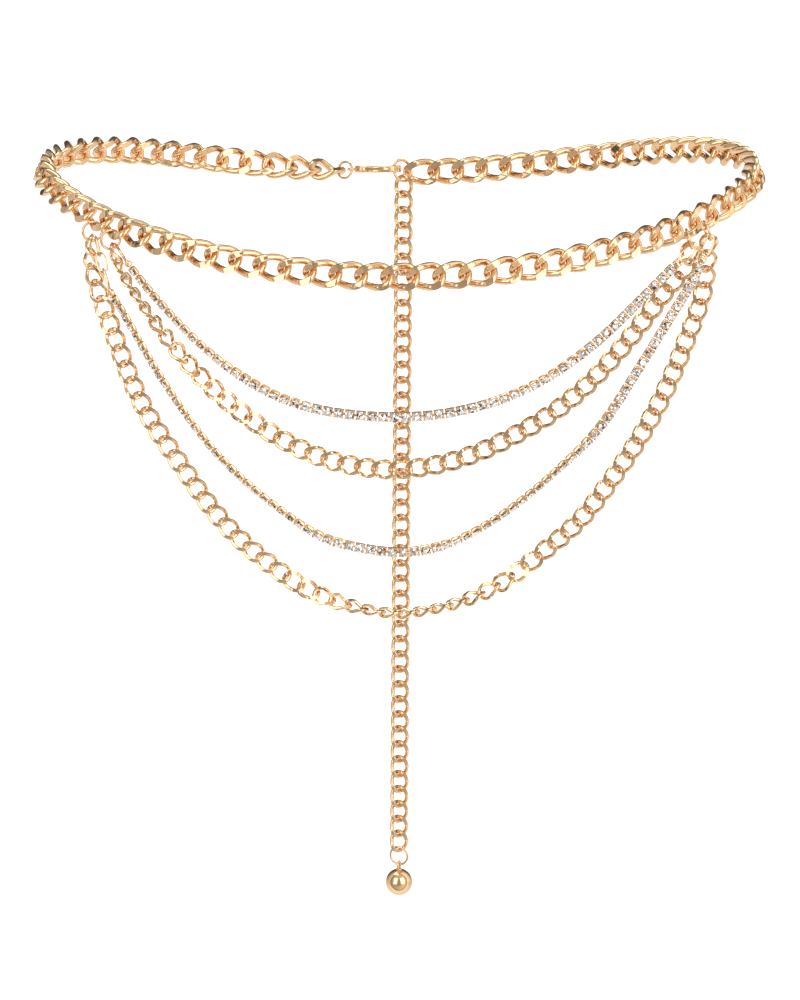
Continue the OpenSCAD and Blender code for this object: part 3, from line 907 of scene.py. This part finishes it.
class WAISTCHAIN_OT_clasp(bpy.types.Operator):
    """The lobster clasp: cast body with its eye, and the sprung lever"""

    bl_idname = "waist_chain.clasp"
    bl_label = "Lobster clasp"

    def execute(self, context):
        half = CLASP_WIDTH / 2
        hook_inside = clasp_reach + END_RING_WIRE / 2 + 0.8
        hook_end = hook_inside + CLASP_BAR
        opening = half - CLASP_BAR
        start, opening_start = 1.3, 6.3
        slot_end, hook_tip = opening_start + 0.7, hook_end - half - 0.2
        body = cast_outline(
            "clasp_cast",
            [
                (slot_end, -half + 0.1), (slot_end - 2.4, -half), (start + 1.2, -half + 0.6), (start, -1.2),
                (start, 1.2), (start + 1.2, half - 0.6), (start + 3.6, half), (start + 7, half),
                (hook_end - half - 1.6, half), (hook_end - 2.4, half - 0.45), (hook_end - 0.5, 2.0),
                (hook_end, 0), (hook_end - 0.5, -2.0), (hook_end - 2.4, -half + 0.45),
                (hook_tip + 0.3, -half + 0.05), (hook_tip, -half + 0.6), (hook_tip + 0.1, -opening - 0.1),
                (hook_inside - 1.9, -opening + 0.3), (hook_inside - 0.4, -1.2), (hook_inside, 0),
                (hook_inside - 0.4, 1.2), (hook_inside - 1.9, opening - 0.3), (hook_inside - 4.2, opening),
                (opening_start + 2.8, opening), (opening_start + 0.7, 1.4), (opening_start, 0),
                (opening_start + 0.3, -1.4), (slot_end, -opening),
            ],
            CLASP_THICK,
            0.62,
        )  # fmt: skip
        clear_selection()
        bpy.ops.mesh.primitive_cube_add(size=1)
        slot = named("slot_cutter")
        slot.scale = Vector((slot_end + 1 - start - 0.9, half + 1.8, 1.24)) * MM
        slot.location = Vector(((slot_end + 1 + start + 0.9) / 2, -(half + 1.8) / 2 - 0.2, 0)) * MM
        bpy.ops.object.transform_apply(location=True, rotation=True, scale=True)
        pick(body)
        bpy.ops.object.modifier_add(type="BOOLEAN")
        cut = body.modifiers[-1]
        cut.object, cut.operation, cut.solver = slot, "DIFFERENCE", "EXACT"
        bpy.ops.object.modifier_apply(modifier=cut.name)
        bpy.data.objects.remove(slot)
        clear_selection()
        bpy.ops.mesh.primitive_torus_add(
            major_radius=1.2 * MM, minor_radius=0.5 * MM, major_segments=28, minor_segments=12
        )
        eye = named("eye")
        root = (start + 3.2, -0.4 * half)
        clear_selection()
        bpy.ops.mesh.primitive_cylinder_add(
            vertices=20, radius=0.5 * MM, depth=CLASP_THICK * MM, location=(root[0] * MM, root[1] * MM, 0)
        )
        pin = named("pin")
        bpy.ops.object.transform_apply(location=True, rotation=True, scale=True)
        piece = edges_shown(joined("clasp_cast_body", [body, eye, pin]), 38)
        finish_piece(settled(piece, clasp_frame), "chain", "gold_findings", gold(), "clasp_body")

        tip, top, low = hook_tip - 0.2, -opening - 0.05, -half
        lever = cast_outline(
            "clasp_gate",
            [
                (root[0] - 0.9, root[1] + 0.5), (root[0], root[1] + 1.1), (root[0] + 1.3, root[1] + 0.4),
                (slot_end + 0.2, top), (tip - 1.8, top), (tip, top - 0.05), (tip, top - 0.55),
                (tip - 0.5, low + 0.45), (tip - 1.4, low + 0.05), (root[0] + 3, low),
                (root[0] + 0.8, low + 0.02), (root[0] - 0.4, low - 0.2), (root[0] - 1.2, low - 0.95),
                (root[0] - 1.9, low - 0.4), (root[0] - 1.6, low + 0.6), (root[0] - 1.1, root[1] - 0.4),
            ],
            1.0,
            0.2,
        )  # fmt: skip
        edges_shown(lever, 38)
        finish_piece(settled(lever, clasp_frame), "lever", "gold_findings", gold(), "clasp_lever")
        return {"FINISHED"}


class WAISTCHAIN_OT_ball(bpy.types.Operator):
    """The polished ball with its neck and eye"""

    bl_idname = "waist_chain.ball"
    bl_label = "Ball drop"

    def execute(self, context):
        clear_selection()
        bpy.ops.mesh.primitive_uv_sphere_add(segments=64, ring_count=40, radius=BALL_SIZE / 2 * MM)
        ball = named("ball")
        ball.data.transform(Matrix.Translation(ball_place * MM))
        clear_selection()
        neck_low = ball_place.z + BALL_SIZE / 2 - 0.4
        neck_high = ball_eye_place.z - BALL_EYE_MID + 0.2
        bpy.ops.mesh.primitive_cylinder_add(vertices=32, radius=1.1 * MM, depth=(neck_high - neck_low) * MM)
        neck = named("neck")
        rounded(neck, 0.25)
        neck.data.transform(
            Matrix.Translation(Vector((ball_place.x, ball_place.y, (neck_low + neck_high) / 2)) * MM)
        )
        clear_selection()
        bpy.ops.mesh.primitive_torus_add(
            major_radius=BALL_EYE_MID * MM,
            minor_radius=BALL_EYE_WIRE / 2 * MM,
            major_segments=32,
            minor_segments=14,
        )
        eye = named("eye")
        across = Vector((cos(BALL_RING_TURN), sin(BALL_RING_TURN), 0))
        eye.data.transform(to_world(ring_frame(ball_eye_place, across)))
        piece = edges_shown(joined("ball_and_eye", [ball, neck, eye]), 40)
        finish_piece(piece, "chain", "gold_findings", gold(), "ball_drop")
        return {"FINISHED"}


# Stage


# The room's light, from the cool white side walls (0) to the warm wall behind the camera (1);
# the black edge between them draws dark lines along the metal
ROOM = [
    (0.0, "#D2CCC6"),
    (0.06, "#D6D2D0"),
    (0.1, "#E5EBFF"),
    (0.17, "#E5EBFF"),
    (0.2, "#C8BBA8"),
    (0.255, "#C6B79E"),
    (0.275, "#15110E"),
    (0.335, "#15110E"),
    (0.36, "#C6B79E"),
    (0.8, "#BDAC90"),
    (0.86, "#A78C6C"),
    (1.0, "#A58766"),
]
SOFT_BOX_WHITE = "#F7F4FF"
# Where the middle of the belt's loop lies in the photo, and the photo's size, in pixels
LOOP_MIDDLE_ACROSS, LOOP_MIDDLE_DOWN = 399.2, 196
PHOTO_WIDTH, PHOTO_HEIGHT, PIXELS_PER_METRE = 800, 1000, 2742.0
SENSOR = 36


def soft_box(name, place, aim, size, power):
    light = bpy.data.lights.new(name, "AREA")
    light.shape, light.size, light.size_y, light.energy = "RECTANGLE", size[0], size[1], power
    light.color = srgb(SOFT_BOX_WHITE)
    ob = bpy.data.objects.new(name, light)
    bpy.context.collection.objects.link(ob)
    ob.location = place
    ob.rotation_euler = (Vector(aim) - Vector(place)).to_track_quat("-Z", "Y").to_euler()
    return ob


def ramp(node, stops):
    """Sets a colour ramp's stops, given as place and colour"""
    elements = node.color_ramp.elements
    while len(elements) > 1:
        elements.remove(elements[-1])
    elements[0].position, elements[0].color = stops[0][0], (*srgb(stops[0][1]), 1)
    for place, tint in stops[1:]:
        elements.new(place).color = (*srgb(tint), 1)


class WAISTCHAIN_OT_stage(bpy.types.Operator):
    """Paper sweep, studio light and camera"""

    bl_idname = "waist_chain.stage"
    bl_label = "Stage"

    def execute(self, context):
        values = context.scene.waist_chain_stage
        clear_selection()
        bpy.ops.mesh.primitive_plane_add(size=1)
        floor = named("floor_sweep")
        floor.data.transform(Matrix.Diagonal((30, 18, 1, 1)))
        floor.data.transform(Matrix.Translation((0, 8.7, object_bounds()[0].z - 0.9)))
        paper, tree = blank_material("matt_white_paper")
        place = add_node(tree, "ShaderNodeTexCoord").outputs["Object"]
        grain = add_node(tree, "ShaderNodeTexNoise", Vector=place, Scale=900.0, Detail=2.0)
        tooth = add_node(tree, "ShaderNodeBump", Strength=0.1, Distance=0.0002, Height=grain.outputs[0])
        # The paper is lit until it shows pure white, but gives the metal only a soft light from below
        seen = add_node(tree, "ShaderNodeLightPath").outputs["Is Camera Ray"]
        lit = add_node(tree, "ShaderNodeMapRange", in0=seen, in1=0.0, in2=1.0, in3=0.15, in4=0.62)
        shader = add_node(
            tree,
            "ShaderNodeBsdfPrincipled",
            Base_Color=(*values.floor, 1),
            Roughness=0.95,
            Normal=tooth.outputs[0],
            Emission_Color=(1, 1, 1, 1),
            Emission_Strength=lit.outputs[0],
        )
        add_node(tree, "ShaderNodeOutputMaterial", Surface=shader.outputs[0])
        floor.data.materials.append(paper)
        floor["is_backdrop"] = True

        world = bpy.data.worlds.new("studio")
        context.scene.world = world
        world.use_nodes = True
        tree = world.node_tree
        tree.nodes.clear()
        way = add_node(tree, "ShaderNodeTexCoord").outputs["Generated"]
        axes = add_node(tree, "ShaderNodeSeparateXYZ", in0=way)
        front = add_node(
            tree, "ShaderNodeVectorMath", {"operation": "DOT_PRODUCT"}, in0=way, in1=(0, -cos(16), sin(16))
        )
        room = add_node(tree, "ShaderNodeValToRGB", in0=front.outputs["Value"])
        ramp(room, ROOM)
        back = add_node(tree, "ShaderNodeMapRange", in0=axes.outputs[1], in1=0.3, in2=0.8, in3=1.0, in4=0.12)
        # The white wall on the right is brighter than the one on the left
        side = add_node(
            tree, "ShaderNodeMapRange", in0=axes.outputs[0], in1=-0.5, in2=0.5, in3=1.12, in4=1.85
        )
        walls = add_node(
            tree, "ShaderNodeMath", {"operation": "MULTIPLY"}, in0=side.outputs[0], in1=back.outputs[0]
        )
        shade = add_node(
            tree, "ShaderNodeMath", {"operation": "MULTIPLY"}, in0=room.outputs[0], in1=walls.outputs[0]
        )
        glow = add_node(tree, "ShaderNodeBackground", in0=shade.outputs[0], in1=1.0)
        seen = add_node(tree, "ShaderNodeBackground", in0=(1, 1, 1, 1), in1=1.0)
        ray = add_node(tree, "ShaderNodeLightPath")
        direct = ray.outputs["Is Camera Ray"]
        mixed = add_node(
            tree, "ShaderNodeMixShader", in0=direct, in1=glow.outputs[0], in2=seen.outputs[0]
        )
        add_node(tree, "ShaderNodeOutputWorld", Surface=mixed.outputs[0])

        for name, turn in (("left_soft_box", -33), ("right_soft_box", 35)):
            soft_box(name, (1.9 * sin(turn), -1.9 * cos(turn), 0.6), (0, 0, -0.08), (1.4, 2.2), 17)
        soft_box("top_light", (-0.6, 0.5, 2.6), (0, 0, -0.1), (1.8, 1.8), 18)

        data = bpy.data.cameras.new("camera")
        camera = bpy.data.objects.new("camera", data)
        context.collection.objects.link(camera)
        far, tilt = values.distance, values.elevation
        camera.location = (0, -far * math.cos(tilt), far * math.sin(tilt))
        camera.rotation_euler = (math.pi / 2 - tilt, 0, 0)
        data.sensor_width = SENSOR
        data.lens = PIXELS_PER_METRE * far * SENSOR / PHOTO_HEIGHT
        data.shift_x = (PHOTO_WIDTH / 2 - LOOP_MIDDLE_ACROSS) / PHOTO_HEIGHT
        data.shift_y = -(PHOTO_HEIGHT / 2 - LOOP_MIDDLE_DOWN) / PHOTO_HEIGHT
        data.clip_start, data.clip_end = 0.1, 60
        context.scene.camera = camera
        context.scene.view_settings.view_transform = "Standard"
        context.scene.view_settings.look = "None"
        return {"FINISHED"}


class WAISTCHAIN_PT_panel(bpy.types.Panel):
    """The waist chain's pieces"""

    bl_idname = "WAISTCHAIN_PT_panel"
    bl_label = "Waist chain"
    bl_space_type = "VIEW_3D"
    bl_region_type = "UI"
    bl_category = "Waist chain"

    def draw(self, context):
        for group in GROUPS:
            values = getattr(context.scene, group)
            box = self.layout.box()
            for key in values.__annotations__:
                box.prop(values, key)
        for piece in OPERATORS:
            self.layout.operator(piece.bl_idname)


GROUPS = {
    "waist_chain_links": WaistChainLinks,
    "waist_chain_cups": WaistChainCups,
    "waist_chain_gold": WaistChainGold,
    "waist_chain_stage": WaistChainStage,
}
OPERATORS = (
    WAISTCHAIN_OT_belt,
    WAISTCHAIN_OT_curb_swags,
    WAISTCHAIN_OT_cup_swags,
    WAISTCHAIN_OT_rings,
    WAISTCHAIN_OT_extender,
    WAISTCHAIN_OT_clasp,
    WAISTCHAIN_OT_ball,
    WAISTCHAIN_OT_stage,
)


def register():
    for item in (*GROUPS.values(), *OPERATORS, WAISTCHAIN_PT_panel):
        bpy.utils.register_class(item)
    for name, group in GROUPS.items():
        setattr(bpy.types.Scene, name, bpy.props.PointerProperty(type=group))


def unregister():
    for name in GROUPS:
        delattr(bpy.types.Scene, name)
    for item in reversed((*GROUPS.values(), *OPERATORS, WAISTCHAIN_PT_panel)):
        bpy.utils.unregister_class(item)


def main():
    register()
    bpy.ops.waist_chain.belt()
    bpy.ops.waist_chain.curb_swags()
    bpy.ops.waist_chain.cup_swags()
    bpy.ops.waist_chain.rings()
    bpy.ops.waist_chain.extender()
    bpy.ops.waist_chain.clasp()
    bpy.ops.waist_chain.ball()
    bpy.ops.waist_chain.stage()


if __name__ == "__main__":
    main()
